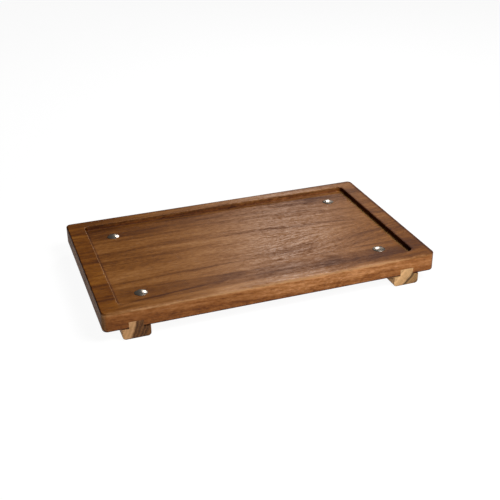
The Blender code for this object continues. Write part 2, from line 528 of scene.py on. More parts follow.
    def _straightened(self, spot: Spot, curly: NodeSocket) -> NodeSocket:
        """Undo the stave's own run of grain, so that patterns can be laid on straight.

        Args:
            spot: the place on the stave.
            curly: how strongly the grain ripples there.

        Returns:
            The place in a straight-grained stave.
        """
        graph = spot.graph
        average = (0.5, 0.5, 0.5)
        wander = graph.noise(spot.place, self.WANDER, 1.5, 0.5, (self.seed, 0.0, 0.0), "Color")
        ripple = graph.noise(spot.place, self.RIPPLE, 2.0, 0.5, (0.0, self.seed, 0.0), "Color")
        bend = graph.vector("MULTIPLY", graph.vector("SUBTRACT", wander, average), (0.0, 0.007, 0.007))
        reach = graph.product(curly, self.curl)
        curl = graph.vector("SUBTRACT", ripple, average)
        curl = graph.vector("MULTIPLY", curl, graph.join(0.0, reach, reach))
        swung = graph.step(spot.along, 0.0, self.SWEEP_LENGTH, 0.0, self.sweep)
        back = graph.total(graph.product(spot.along, self.lean[0]), swung)
        up = graph.product(spot.along, self.lean[1])
        straight = graph.vector("SUBTRACT", spot.place, graph.join(0.0, back, up))
        return graph.vector("ADD", graph.vector("ADD", straight, bend), curl)

    def _rings(self, spot: Spot, straight: NodeSocket) -> NodeSocket:
        """Lay growth rings round the pith.

        Args:
            spot: the place on the stave.
            straight: the place in a straight-grained stave.

        Returns:
            The rings' share of the figure, about zero.
        """
        graph = spot.graph
        from_pith = graph.vector("SUBTRACT", straight, (0.0, *self.pith))
        radius = graph.vector("LENGTH", graph.vector("MULTIPLY", from_pith, (0.0, 1.0, 1.0)))
        growth = graph.join(radius, graph.product(spot.along, 0.03), self.seed)
        broad = graph.noise(growth, (self.BROAD_RINGS,) * 3, 2.0, 0.5)
        narrow = graph.noise(growth, (self.NARROW_RINGS,) * 3, 3.0, 0.62)
        return graph.total(graph.swing(broad, 0.80), graph.swing(narrow, 1.05))

    def _figure(self, spot: Spot, straight: NodeSocket, fine: NodeSocket) -> NodeSocket:
        """Put the wood's figure together, from dark (0) to pale.

        Args:
            spot: the place on the stave.
            straight: the place in a straight-grained stave.
            fine: fibres and specks, about zero.

        Returns:
            The figure.
        """
        graph, tray = spot.graph, spot.tray
        figure = graph.total(fine, self._rings(spot, straight), 0.5 + self.tone)
        on_rim = graph.step(spot.off_centre, tray.side_wall + 0.0055, tray.side_wall - 0.0045)
        on_rim = graph.less(on_rim, spot.end)
        edge = tray.end_wall + self.ONTO_RIM
        for side, shade in zip((-1.0, 1.0), self.rim_shades):
            past_edge = graph.step(graph.product(spot.along, side), edge - 0.001, edge, 0.0, shade)
            figure = graph.less(figure, graph.product(past_edge, on_rim))
        for streak in self.streaks:
            figure = graph.less(figure, streak.shown(spot, straight))
        return figure

    def _bare_colour(self, spot: Spot, figure: NodeSocket) -> NodeSocket:
        """Colour the figure: warmer on the front and back, yellower on the left rim, duller on end grain.

        Args:
            spot: the place on the stave.
            figure: the wood's figure.

        Returns:
            The colour.
        """
        graph, tray = spot.graph, spot.tray
        colour = graph.ramp(graph.math("DIVIDE", figure, self.PALEST), self.SHADES)
        below_rim = graph.step(spot.up, tray.top - 0.0018, tray.top - 0.0043)
        on_side = graph.product(graph.step(spot.at_side, 0.5, 0.95), below_rim)
        colour = graph.mix(on_side, colour, self.SIDE_TINT, "MULTIPLY")
        on_top = graph.less(graph.step(spot.off_centre, tray.side - 0.0010, tray.side - 0.0065), spot.end)
        edge = -tray.end_wall - self.ONTO_RIM
        on_left_rim = graph.product(graph.step(spot.along, edge, edge - 0.001), on_top)
        colour = graph.mix(on_left_rim, colour, self.LEFT_RIM_TINT, "MULTIPLY")
        return graph.mix(graph.product(spot.end, 0.7), colour, graph.ramp(figure, self.END_SHADES))

    def _painted_shade(self, spot: Spot) -> NodeSocket:
        """Paint shade on two lips of the recess, along the outer right and back edges and wherever the face
        marks are below zero, and darken a line on the floor at the left wall's foot.

        Args:
            spot: the place on the stave.

        Returns:
            How far it darkens the wood, 0 to 1.
        """
        graph, tray = spot.graph, spot.tray
        # Painted shade: dark lines on the right-hand and front lips and along the outer right and back
        # edges; also a dark line on the floor at the left wall's foot.
        foot = graph.product(graph.bell(spot.along, self.FOOT_LINE_GAP - tray.end_wall, 0.0011), spot.on_floor)
        right_line = graph.bell(spot.along, tray.end_wall + 0.0011, self.LINE_WIDTH)
        right_lip = graph.product(right_line, spot.within)
        edge = tray.end_wall + self.ONTO_RIM
        between_ends = graph.step(spot.off_middle, edge, edge - 0.0020, 0.0, self.FRONT_LIP)
        front_line = graph.bell(spot.across, -tray.side_wall - 0.0010, self.LINE_WIDTH)
        front_lip = graph.product(front_line, between_ends)
        at_lip = graph.step(spot.up, tray.top - 0.0018, tray.top - 0.0008)
        lips = graph.product(graph.highest(right_lip, front_lip), at_lip)
        right_edge = graph.step(spot.along, tray.end - 0.0055, tray.end - 0.0032)
        back_edge = graph.step(spot.across, tray.side - 0.0050, tray.side - 0.0023)
        at_edge = graph.step(spot.up, tray.top - 0.0023, tray.top - 0.0008)
        edges = graph.product(graph.highest(right_edge, back_edge), at_edge)
        shade_lines = graph.product(graph.highest(foot, lips, edges), self.LINE_SHADE)
        return graph.highest(graph.step(spot.wear, 0.0, -1.0), shade_lines)

    def _end_wall_shade(self, spot: Spot) -> NodeSocket:
        """Paint shade on the recess's end walls, above a strip at their foot.

        Args:
            spot: the place on the stave.

        Returns:
            How far it darkens the wood, 0 to 1.
        """
        graph, tray = spot.graph, spot.tray
        on_wall = graph.product(graph.step(spot.cut_across, 0.5, 0.9), spot.in_recess)
        not_highlighted = graph.step(spot.wear, 0.15, 0.05)
        return graph.product(on_wall, not_highlighted, graph.step(spot.up, tray.floor + 0.0009, tray.floor + 0.0027))

    def _painted_highlights(self, spot: Spot) -> NodeSocket:
        """Show where the wood is painted pale, 0 to 1: painted highlights on marked arrises and corners, and
        a pale strip on the floor at the right wall's foot that lifts its cast shadow.
        """
        graph, wall = spot.graph, spot.tray.end_wall
        at_foot = graph.step(spot.along, wall - 0.0035, wall - 0.0007, 0.0, self.SHADOW_LIFT)
        return graph.highest(graph.step(spot.wear, 0.0, 1.0), graph.product(at_foot, spot.on_floor))


@dataclass(frozen=True)
class RunnerWood:
    """Pale hardwood with its grain along Y, sawn where sapwood meets heartwood.

    Attributes:
        name: name of the material.
        figure: how the blank was sawn.
        heart_edge: where the heartwood begins, from the runner's middle, at the foot.
        heart_slope: how far that edge moves for each metre of height.
        seed: offset that gives the runner a pattern of its own.
        sap: colour of its sapwood.
    """

    name: str
    figure: Figure
    heart_edge: float
    heart_slope: float
    seed: float
    sap: Colour

    SAP_SHADE = (0.430, 0.225, 0.083)
    TAN = (0.370, 0.205, 0.074)
    TAN_SHADE = (0.190, 0.090, 0.032)
    HEART = (0.200, 0.0800, 0.0230)
    HEART_DARK = (0.045, 0.0165, 0.0050)
    STREAK = (0.210, 0.115, 0.043)
    STREAK_DARK = (0.075, 0.038, 0.013)
    # Colour of the painted shade along the runner's foot.
    FOOT_SHADE = (0.30, 0.22, 0.15)
    WANDER = (130.0, 6.0, 130.0)
    FIBRES = (450.0, 14.0, 450.0)
    RINGS = 330.0

    def material(self, middle: float) -> Material:
        """Build the finish.

        Args:
            middle: place of the runner along the board.

        Returns:
            The material.
        """
        material, graph = new_material(self.name)
        place = graph.place()
        _, across, up = graph.split(place)
        wander = graph.noise(place, self.WANDER, 2.0, 0.5, (self.seed, 0.0, 0.0))
        lean = graph.vector("DOT_PRODUCT", place, (1.0, 0.0, -self.heart_slope))
        edge = graph.total(graph.less(lean, middle + self.heart_edge), graph.swing(wander, 0.006))
        ring = graph.join(edge, graph.product(across, 0.02), self.seed)
        growth = graph.noise(ring, (self.RINGS,) * 3, 2.0, 0.6)
        fibre = graph.noise(place, self.FIBRES, 2.0, 0.65)
        grain = graph.total(graph.swing(growth, 2.4), 0.5, graph.swing(fibre, 0.9))
        sap = graph.ramp(grain, ((0.0, self.SAP_SHADE), (0.7, self.sap)))
        heart = graph.ramp(grain, ((0.2, self.HEART_DARK), (0.85, self.HEART)))
        if self.figure is Figure.HALF_HEARTWOOD:
            colour = graph.mix(graph.step(edge, -0.0012, 0.0012), sap, heart)
        else:
            tan = graph.ramp(grain, ((0.2, self.TAN_SHADE), (0.7, self.TAN)))
            beyond = graph.mix(graph.step(edge, -0.001, 0.003), sap, tan)
            streak = graph.ramp(grain, ((0.2, self.STREAK_DARK), (0.8, self.STREAK)))
            colour = graph.mix(graph.bell(edge, 0.0, 0.0026), beyond, streak)
        # Painted shade along the runner's foot, darker towards the bottom.
        foot_shade = graph.step(up, 0.0018, 0.0003, 0.0, 0.8)
        colour = graph.mix(foot_shade, colour, self.FOOT_SHADE, "MULTIPLY")
        roughness = graph.total(graph.swing(fibre, 0.15), 0.62)
        relief = graph.bump(fibre, 0.0001, 0.5)
        graph.surface(Base_Color=colour, Roughness=roughness, Specular_IOR_Level=0.20, Normal=relief)
        return material


@dataclass(frozen=True)
class StudSteel:
    """Polished steel with fine rubbing marks.

    Attributes:
        name: name of the material.
        colour: its reflection.
    """

    name: str = "polished_steel"
    colour: Colour = (0.76, 0.66, 0.55)

    DULLED = 0.82
    SMEARS = (220.0, 220.0, 220.0)
    RUBBING = (600.0, 5200.0, 900.0)

    def material(self) -> Material:
        """Build the finish.

        Returns:
            The material.
        """
        material, graph = new_material(self.name)
        place = graph.place()
        smear = graph.noise(place, self.SMEARS, 3.0, 0.6)
        rubbed = graph.noise(place, self.RUBBING, 2.0, 0.5)
        dulled = tuple(self.DULLED * part for part in self.colour)
        colour = graph.mix(graph.step(smear, 0.35, 0.75), self.colour, dulled)
        roughness = graph.total(graph.swing(smear, 0.12), 0.25)
        relief = graph.bump(rubbed, 0.000004, 0.4)
        graph.surface(Base_Color=colour, Metallic=1.0, Roughness=roughness, Normal=relief)
        return material


def deselect() -> None:
    """Leave nothing selected."""
    bpy.ops.object.select_all(action="DESELECT")


def take(piece: Object) -> None:
    """Select one object alone and make it the active one."""
    deselect()
    piece.select_set(True)
    bpy.context.view_layer.objects.active = piece


def named(name: str) -> Object:
    """Name the object that was just added, and settle its place and size into its mesh.

    Args:
        name: its name.

    Returns:
        The object.
    """
    piece = bpy.context.object
    piece.name = name
    piece.data.name = name
    bpy.ops.object.transform_apply(location=True, rotation=True, scale=True)
    return piece


def add_block(name: str, low: Vector, high: Vector) -> Object:
    """Add a block that fills a box.

    Args:
        name: its name.
        low: lowest corner.
        high: highest corner.

    Returns:
        The block.
    """
    deselect()
    bpy.ops.mesh.primitive_cube_add(size=1.0, location=(low + high) / 2, scale=high - low)
    return named(name)


def edit(piece: Object, selected: str = "SELECT", picking: str = "VERT") -> bmesh.types.BMesh:
    """Open a piece in edit mode.

    Args:
        piece: the piece.
        selected: SELECT for all of it, DESELECT for nothing.
        picking: what is picked next, by Blender's name: VERT, EDGE or FACE.

    Returns:
        The open mesh.
    """
    take(piece)
    bpy.ops.object.mode_set(mode="EDIT")
    bpy.ops.mesh.select_mode(type=picking)
    bpy.ops.mesh.select_all(action=selected)
    return bmesh.from_edit_mesh(piece.data)


def edit_edges(piece: Object, wanted: EdgeTest) -> None:
    """Open a piece in edit mode with the wanted edges selected.

    Args:
        piece: the piece.
        wanted: tells from an edge's two ends whether it is selected.
    """
    for edge in edit(piece, "DESELECT", "EDGE").edges:
        edge.select_set(wanted(*(vert.co for vert in edge.verts)))
    bmesh.update_edit_mesh(piece.data)


def edit_faces(piece: Object, wanted: FaceTest) -> None:
    """Open a piece in edit mode with the wanted faces selected.

    Args:
        piece: the piece.
        wanted: tells from a face's middle and its normal whether it is selected.
    """
    for face in edit(piece, "DESELECT", "FACE").faces:
        face.select_set(wanted(face.calc_center_median(), face.normal))
    bmesh.update_edit_mesh(piece.data)


def is_upright(first: Vector, second: Vector) -> bool:
    """Whether an edge between two points stands upright in a block."""
    return abs(first.z - second.z) > SAME_PLACE


def at_height(level: float) -> EdgeTest:
    """Make a test for edges that lie at one height."""
    return lambda first, second: max(abs(first.z - level), abs(second.z - level)) < SAME_PLACE


def leave_edit() -> None:
    """Go back to object mode."""
    bpy.ops.object.mode_set(mode="OBJECT")


def draw_out(rise: float) -> None:
    """Draw the selected faces up out of the open piece, or down for a rise below zero."""
    bpy.ops.mesh.extrude_region_move(TRANSFORM_OT_translate={"value": (0.0, 0.0, rise)})


def round_edges(piece: Object, radius: float, segments: int, wanted: EdgeTest) -> None:
    """Round some edges of a piece.

    Args:
        piece: the piece.
        radius: radius of the rounding.
        segments: number of flats that it is made of.
        wanted: tells from an edge's two ends whether it is rounded.
    """
    edit_edges(piece, wanted)
    bpy.ops.mesh.bevel(offset=radius, segments=segments, profile=0.5, affect="EDGES", clamp_overlap=False)
    leave_edit()


def saw(piece: Object, place: Point, normal: Point, keep: bool = False) -> None:
    """Cut a piece along a plane.

    Args:
        piece: the piece.
        place: a point of the plane.
        normal: its normal; the side that it points to is taken away and the cut closed.
        keep: leave both sides, joined.
    """
    edit(piece)
    bpy.ops.mesh.bisect(
        plane_co=place, plane_no=normal, use_fill=not keep, clear_outer=not keep, threshold=SAME_PLACE
    )
    leave_edit()


def cut(piece: Object, cutter: Object) -> None:
    """Cut one shape out of another, and use the cutter up.

    Args:
        piece: what is cut.
        cutter: the shape that is taken away.
    """
    take(piece)
    modifier = piece.modifiers.new(cutter.name, "BOOLEAN")
    modifier.operation = "DIFFERENCE"
    modifier.solver = "EXACT"
    modifier.object = cutter
    bpy.ops.object.modifier_apply(modifier=modifier.name)
    bpy.data.objects.remove(cutter)


def settle(piece: Object) -> None:
    """Merge doubled points, turn the faces outwards and shade the roundings smooth with flats kept flat.

    Args:
        piece: the piece.
    """
    edit(piece)
    bpy.ops.mesh.remove_doubles(threshold=SAME_PLACE)
    bpy.ops.mesh.normals_make_consistent(inside=False)
    leave_edit()
    bpy.ops.object.shade_smooth_by_angle(angle=SMOOTH_ANGLE)
    weighted = piece.modifiers.new("flat_faces", "WEIGHTED_NORMAL")
    weighted.keep_sharp = True
    bpy.ops.object.modifier_apply(modifier=weighted.name)


def mark_cut(piece: Object) -> None:
    """Note on each face how squarely it is cut across the fibres (X), at the side (Y) and flat (Z)."""
    shares = piece.data.attributes.new(CUT, "FLOAT_VECTOR", "FACE")
    shares.data.foreach_set("vector", [abs(part) for face in piece.data.polygons for part in face.normal])


class PaintedLightLevel:
    """How far a part of a stave is painted pale as a highlight (up to 1), or painted dark as shade (down to
    -1).
    """

    # Below zero is painted shade: recess walls, cove, shaded arrises, right-hand upright corners and outer
    # edges. Above zero is painted highlight: back and left arrises and the other upright corners. The front
    # edge gain takes some painted shade off edges that face the front.
    RECESS_WALL = -0.28
    COVE = -0.5
    SHADED_ARRIS = -0.7
    BACK_ARRIS = 0.12
    LEFT_ARRIS = 0.25
    RIGHT_CORNER = -0.4
    LEFT_CORNER = 0.20
    OUTER_EDGE = -0.8
    FRONT_EDGE_GAIN = 0.45
    FULL_TURN = 0.10


def mark_painted_light(piece: Object, tray: Tray, cove: float) -> None:
    """Note on each face how far it is painted pale as a highlight (up to 1), or painted dark as shade (down
    to -1).

    Args:
        piece: a stave.
        tray: where the slab and its recess end.
        cove: radius of the cove round the recess floor.
    """
    flat = 0.01
    near = 0.002

    def in_recess(normal: Vector, height: float, turn: float) -> float:
        """How far a face of the recess is paled or darkened, by its slope and height above the floor."""
        if abs(normal.z) < flat:
            return PaintedLightLevel.RECESS_WALL
        if normal.z > 1.0 - flat:
            return 0.0
        at_right = normal.x < -flat
        if height < cove:
            return 0.0 if at_right else PaintedLightLevel.COVE
        if at_right or (normal.y > flat and normal.x < flat):
            return PaintedLightLevel.SHADED_ARRIS * turn
        return (PaintedLightLevel.BACK_ARRIS if normal.y < -flat else PaintedLightLevel.LEFT_ARRIS) * turn

    def painted(middle: Vector, normal: Vector) -> float:
        """How far any face is paled or darkened."""
        turn = min(1.0, (1.0 - max(abs(part) for part in normal)) / PaintedLightLevel.FULL_TURN)
        inside = abs(middle.x) < tray.end_wall + near and abs(middle.y) < tray.side_wall + near
        if inside and middle.z > tray.floor:
            return in_recess(normal, middle.z - tray.floor, turn)
        if abs(normal.z) < flat:
            # Painted shade on the right-hand upright corners, painted highlight on the others.
            return (PaintedLightLevel.RIGHT_CORNER if normal.x > flat else PaintedLightLevel.LEFT_CORNER) * turn
        facing = 0.0
        if normal.z > flat:
            facing = max(0.0, -normal.y / math.hypot(normal.x, normal.y, SAME_PLACE))
        # Painted shade on the outer edges, less where they face the front.
        return (PaintedLightLevel.FRONT_EDGE_GAIN * facing**2 + PaintedLightLevel.OUTER_EDGE) * turn

    marks = piece.data.attributes.new(PAINTED_MARK, "FLOAT", "FACE")
    marks.data.foreach_set("value", [painted(face.center, face.normal) for face in piece.data.polygons])


def hand_over(piece: Object, node: str, finish: Material) -> None:
    """Dress a finished piece and put it in the place of its CAD node.

    Args:
        piece: the piece.
        node: the node that it stands for.
        finish: its material.
    """
    piece.data.materials.clear()
    piece.data.materials.append(finish)
    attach(piece, BODY)
    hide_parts(node)
    LOG.info("%s: %d faces in %s", piece.name, len(piece.data.polygons), finish.name)


@dataclass
class Slab:
    """The slab: staves glued edge to edge, with the tray recess routed across them.

    Attributes:
        low: lowest corner of the slab.
        high: highest corner of the slab.
        recess_floor: height of the recess floor.
        end_rim: width of the rim at the ends.
        side_rim: width of the rim along the sides.
        corner_radius: rounding of the slab's corners in plan.
        upper_edge_radius: rounding of its upper edges.
        lower_edge_radius: rounding of its lower edges.
        recess_corner_radius: rounding of the recess's corners in plan.
        cove_radius: cove between the recess's walls and floor.
        arris_radius: easing of the rim's inner edge.
        housing_clearance: gap round a runner's tongue.
        hole_clearance: gap round a stud's shank.
    """

    low: Vector
    high: Vector
    recess_floor: float
    end_rim: float = 0.0213
    side_rim: float = 0.0150
    corner_radius: float = 0.0060
    upper_edge_radius: float = 0.0018
    lower_edge_radius: float = 0.0030
    recess_corner_radius: float = 0.0065
    cove_radius: float = 0.0010
    arris_radius: float = 0.0010
    housing_clearance: float = 0.00005
    hole_clearance: float = 0.0001

    MOUTH = 0.005
    STEPS = 10
    FINE_STEPS = 6

    def build(self, runners: Sequence["Runner"], studs: Sequence["Stud"]) -> Object:
        """Model the whole slab in one piece, with what is routed and drilled into it.

        Args:
            runners: the runners whose tongues it takes.
            studs: the studs whose shanks it takes.

        Returns:
            The slab, not yet sawn into its staves.
        """
        slab = add_block("slab", self.low, self.high)
        round_edges(slab, self.corner_radius, self.STEPS, is_upright)
        round_edges(slab, self.upper_edge_radius, self.FINE_STEPS, at_height(self.high.z))
        round_edges(slab, self.lower_edge_radius, self.FINE_STEPS, at_height(self.low.z))
        cut(slab, self._recess())
        reach = Vector((self.tray.end_wall, self.tray.side_wall)) + Vector((SAME_PLACE, SAME_PLACE))
        on_top = at_height(self.high.z)

        def on_rim(first: Vector, second: Vector) -> bool:
            """Whether an edge lies on the rim's inner outline."""
            inside = all(abs(end.x) < reach.x and abs(end.y) < reach.y for end in (first, second))
            return inside and on_top(first, second)

        round_edges(slab, self.arris_radius, self.FINE_STEPS, on_rim)
        for runner in runners:
            cut(slab, runner.housing(self.housing_clearance, self.MOUTH))
        for stud in studs:
            cut(slab, stud.hole(self.hole_clearance, self.MOUTH))
        return slab

    @property
    def tray(self) -> Tray:
        """Where the slab and its recess end."""
        wall = self.high - Vector((self.end_rim, self.side_rim, 0.0))
        return Tray(*self.high.xy, *wall.xy, self.recess_floor, self.high.z)

    def _recess(self) -> Object:
        """Model the shape that the router takes away.

        Returns:
            The shape.
        """
        tray = self.tray
        corner = Vector((tray.end_wall, tray.side_wall, 0.0))
        low = Vector((0.0, 0.0, tray.floor)) - corner
        recess = add_block("recess", low, Vector((0.0, 0.0, tray.top + self.MOUTH)) + corner)
        round_edges(recess, self.recess_corner_radius, self.STEPS, is_upright)
        round_edges(recess, self.cove_radius, self.FINE_STEPS, at_height(tray.floor))
        return recess

    def dress(self, slab: Object, staves: dict[str, StaveWood]) -> None:
        """Saw the slab into its staves and finish each.

        Args:
            slab: the whole slab, which is used up.
            staves: the staves' nodes from front to back, each with its wood.
        """
        pitch = (self.high.y - self.low.y) / len(staves)
        for index, (node, wood) in enumerate(staves.items()):
            take(slab)
            bpy.ops.object.duplicate(linked=False)
            stave = named(f"{node}_wood")
            front = self.low.y + index * pitch
            if index > 0:
                saw(stave, (0.0, front, 0.0), (0.0, -1.0, 0.0))
            if index < len(staves) - 1:
                saw(stave, (0.0, front + pitch, 0.0), (0.0, 1.0, 0.0))
            settle(stave)
            mark_cut(stave)
            mark_painted_light(stave, self.tray, self.cove_radius)
            hand_over(stave, node, wood.material(self.tray))
        bpy.data.objects.remove(slab)


@dataclass
class Runner:
    """A T-section runner across the underside: a tongue on a block with rounded lower edges.

    Attributes:
        node: its CAD node.
        low: lowest corner.
        high: highest corner, at the top of the tongue.
        shoulder: height of the slab's underside, which the block meets.
        tongue_width: width of the tongue.
        edge_radius: rounding of the block's lower edges.
        end_arris: easing of the block's ends.
    """

    node: str
    low: Vector
    high: Vector
    shoulder: float
    tongue_width: float = 0.0165
    edge_radius: float = 0.0040
    end_arris: float = 0.0008

    STEPS = 8
    ARRIS_STEPS = 4

    @property
    def middle(self) -> float:
        """Place of the runner along the board."""
        return (self.low.x + self.high.x) / 2

    def housing(self, clearance: float, mouth: float) -> Object:
        """Model the groove that takes the tongue.

        Args:
            clearance: gap round the tongue.
            mouth: how far the shape reaches past the slab.

        Returns:
            The shape to cut out of the slab.
        """
        half = self.tongue_width / 2 + clearance
        low = Vector((self.middle - half, self.low.y - mouth, self.shoulder - mouth))
        high = Vector((self.middle + half, self.high.y + mouth, self.high.z + clearance))
        return add_block("housing", low, high)

    def build(self) -> Object:
        """Model the runner from a block, with its tongue drawn up out of the block's top.

        Returns:
            The runner.
        """
        runner = add_block(f"{self.node}_wood", self.low, Vector((self.high.x, self.high.y, self.shoulder)))
        half = self.tongue_width / 2
        for side in (-half, half):
            saw(runner, (self.middle + side, 0.0, 0.0), (1.0, 0.0, 0.0), keep=True)
        edit_faces(runner, lambda centre, normal: normal.z > 0.5 and abs(centre.x - self.middle) < half)
        draw_out(self.high.z - self.shoulder)
        leave_edit()
        round_edges(runner, self.edge_radius, self.STEPS, self._on_lower_edge)
        round_edges(runner, self.end_arris, self.ARRIS_STEPS, self._on_end_arris)
        settle(runner)
        return runner

    def _on_lower_edge(self, first: Vector, second: Vector) -> bool:
        """Whether an edge between two points runs along the foot of one of the block's long sides."""
        reach = (self.high.x - self.low.x) / 2 - SAME_PLACE
        beside = all(abs(end.x - self.middle) > reach for end in (first, second))
        return beside and at_height(self.low.z)(first, second)

    def _on_end_arris(self, first: Vector, second: Vector) -> bool:
        """Whether an edge outside the tongue has both its points on the runner's ends.

        Besides the edges round the ends, this takes in the long edges of the lower roundings and the foot.

        Args:
            first: one point of the edge.
            second: its other point.

        Returns:
            True for an edge that is eased.
        """
        ends = (self.low.y, self.high.y)
        on_ends = all(min(abs(point.y - end) for end in ends) < SAME_PLACE for point in (first, second))
        middle = (first + second) / 2
        outside = min(middle.x - self.low.x, self.high.x - middle.x) < self.edge_radius
        at_foot = middle.z < self.low.z + SAME_PLACE
        return on_ends and middle.z < self.shoulder - SAME_PLACE and (outside or at_foot)

    def dress(self, runner: Object, wood: RunnerWood) -> None:
        """Finish the runner's mesh."""
        hand_over(runner, self.node, wood.material(self.middle))


@dataclass
class Stud:
    """A domed stud with a pointed shank.

    Attributes:
        node: its CAD node.
        low: lowest corner, at the shank's point.
        high: highest corner, at the crown.
        seat: height of the recess floor.
        band: height of the upright band under the dome.
        shank_diameter: diameter of the shank.
        point_length: length of its point.
        edge_radius: rounding of the band's lower edge.
    """

    node: str
    low: Vector
    high: Vector
    seat: float
    band: float = 0.0004
    shank_diameter: float = 0.0040
    point_length: float = 0.0020
    edge_radius: float = 0.00012

    SEGMENTS = 72
    HOLE_SEGMENTS = 32
    EDGE_STEPS = 3

    @property
    def centre(self) -> Vector:
        """The stud's place in plan, at its seat."""
        return Vector(((self.low.x + self.high.x) / 2, (self.low.y + self.high.y) / 2, self.seat))

    def hole(self, clearance: float, mouth: float) -> Object:
        """Model the blind hole that takes the shank.

        Args:
            clearance: gap round the shank.
            mouth: how far the shape reaches above the recess floor.

        Returns:
            The shape to cut out of the slab.
        """
        bottom = self.low.z - clearance
        top = self.seat + mouth
        place = (self.centre.x, self.centre.y, (bottom + top) / 2)
        deselect()
        bpy.ops.mesh.primitive_cylinder_add(
            vertices=self.HOLE_SEGMENTS, radius=self.shank_diameter / 2 + clearance,
            depth=top - bottom, location=place
        )
        return named("hole")

    def build(self) -> Object:
        """Model the stud: the cap of a sphere, with a band and a shank drawn out of its flat side.

        Returns:
            The stud.
        """
        radius = (self.high.x - self.low.x) / 2
        cap = self.high.z - self.seat - self.band
        sphere = (radius**2 + cap**2) / (2 * cap)
        deselect()
        bpy.ops.mesh.primitive_uv_sphere_add(
            segments=self.SEGMENTS, ring_count=self.SEGMENTS, radius=sphere,
            location=(self.centre.x, self.centre.y, self.high.z - sphere)
        )
        stud = named(f"{self.node}_steel")
        saw(stud, (0.0, 0.0, self.seat + self.band), (0.0, 0.0, -1.0))
        edit_faces(stud, lambda middle, normal: normal.z < -0.999)
        draw_out(-self.band)
        bpy.ops.mesh.inset(thickness=radius - self.shank_diameter / 2)
        straight = self.seat - self.low.z - self.point_length
        draw_out(-straight)
        draw_out(-self.point_length)
        bpy.ops.mesh.merge(type="CENTER")
        leave_edit()
        round_edges(stud, self.edge_radius, self.EDGE_STEPS, self._on_seat_edge)
        settle(stud)
        return stud

    def _on_seat_edge(self, first: Vector, second: Vector) -> bool:
        """Whether an edge between two points goes round the foot of the band."""
        near_rim = 0.45 * (self.high.x - self.low.x)
        on_rim = all((end - self.centre).xy.length > near_rim for end in (first, second))
        return on_rim and at_height(self.seat)(first, second)

    def dress(self, stud: Object, finish: Material) -> None:
        """Finish the stud's mesh."""
        hand_over(stud, self.node, finish)


@dataclass(frozen=True)
class Softbox:
    """A studio lamp with a flat screen.

    Attributes:
        name: its name.
        place: where it stands.
        target: what it is turned to.
        width: width of its screen.
        height: height of its screen.
        power: its power in watts.
        colour: colour of its light.
    """

    name: str
    place: Point
    target: Point
    width: float
    height: float
    power: float
    colour: Colour = (1.0, 1.0, 1.0)

    def add(self) -> None:
        """Put the lamp in the scene."""
        lamp = bpy.data.lights.new(self.name, "AREA")
        lamp.shape = "RECTANGLE"
        lamp.size = self.width
        lamp.size_y = self.height
        lamp.energy = self.power
        lamp.color = self.colour
        holder = bpy.data.objects.new(self.name, lamp)
        holder.location = self.place
        beam = Vector(self.target) - Vector(self.place)
        holder.rotation_euler = beam.to_track_quat("-Z", "Y").to_euler()
        holder.visible_camera = False
        bpy.context.scene.collection.objects.link(holder)


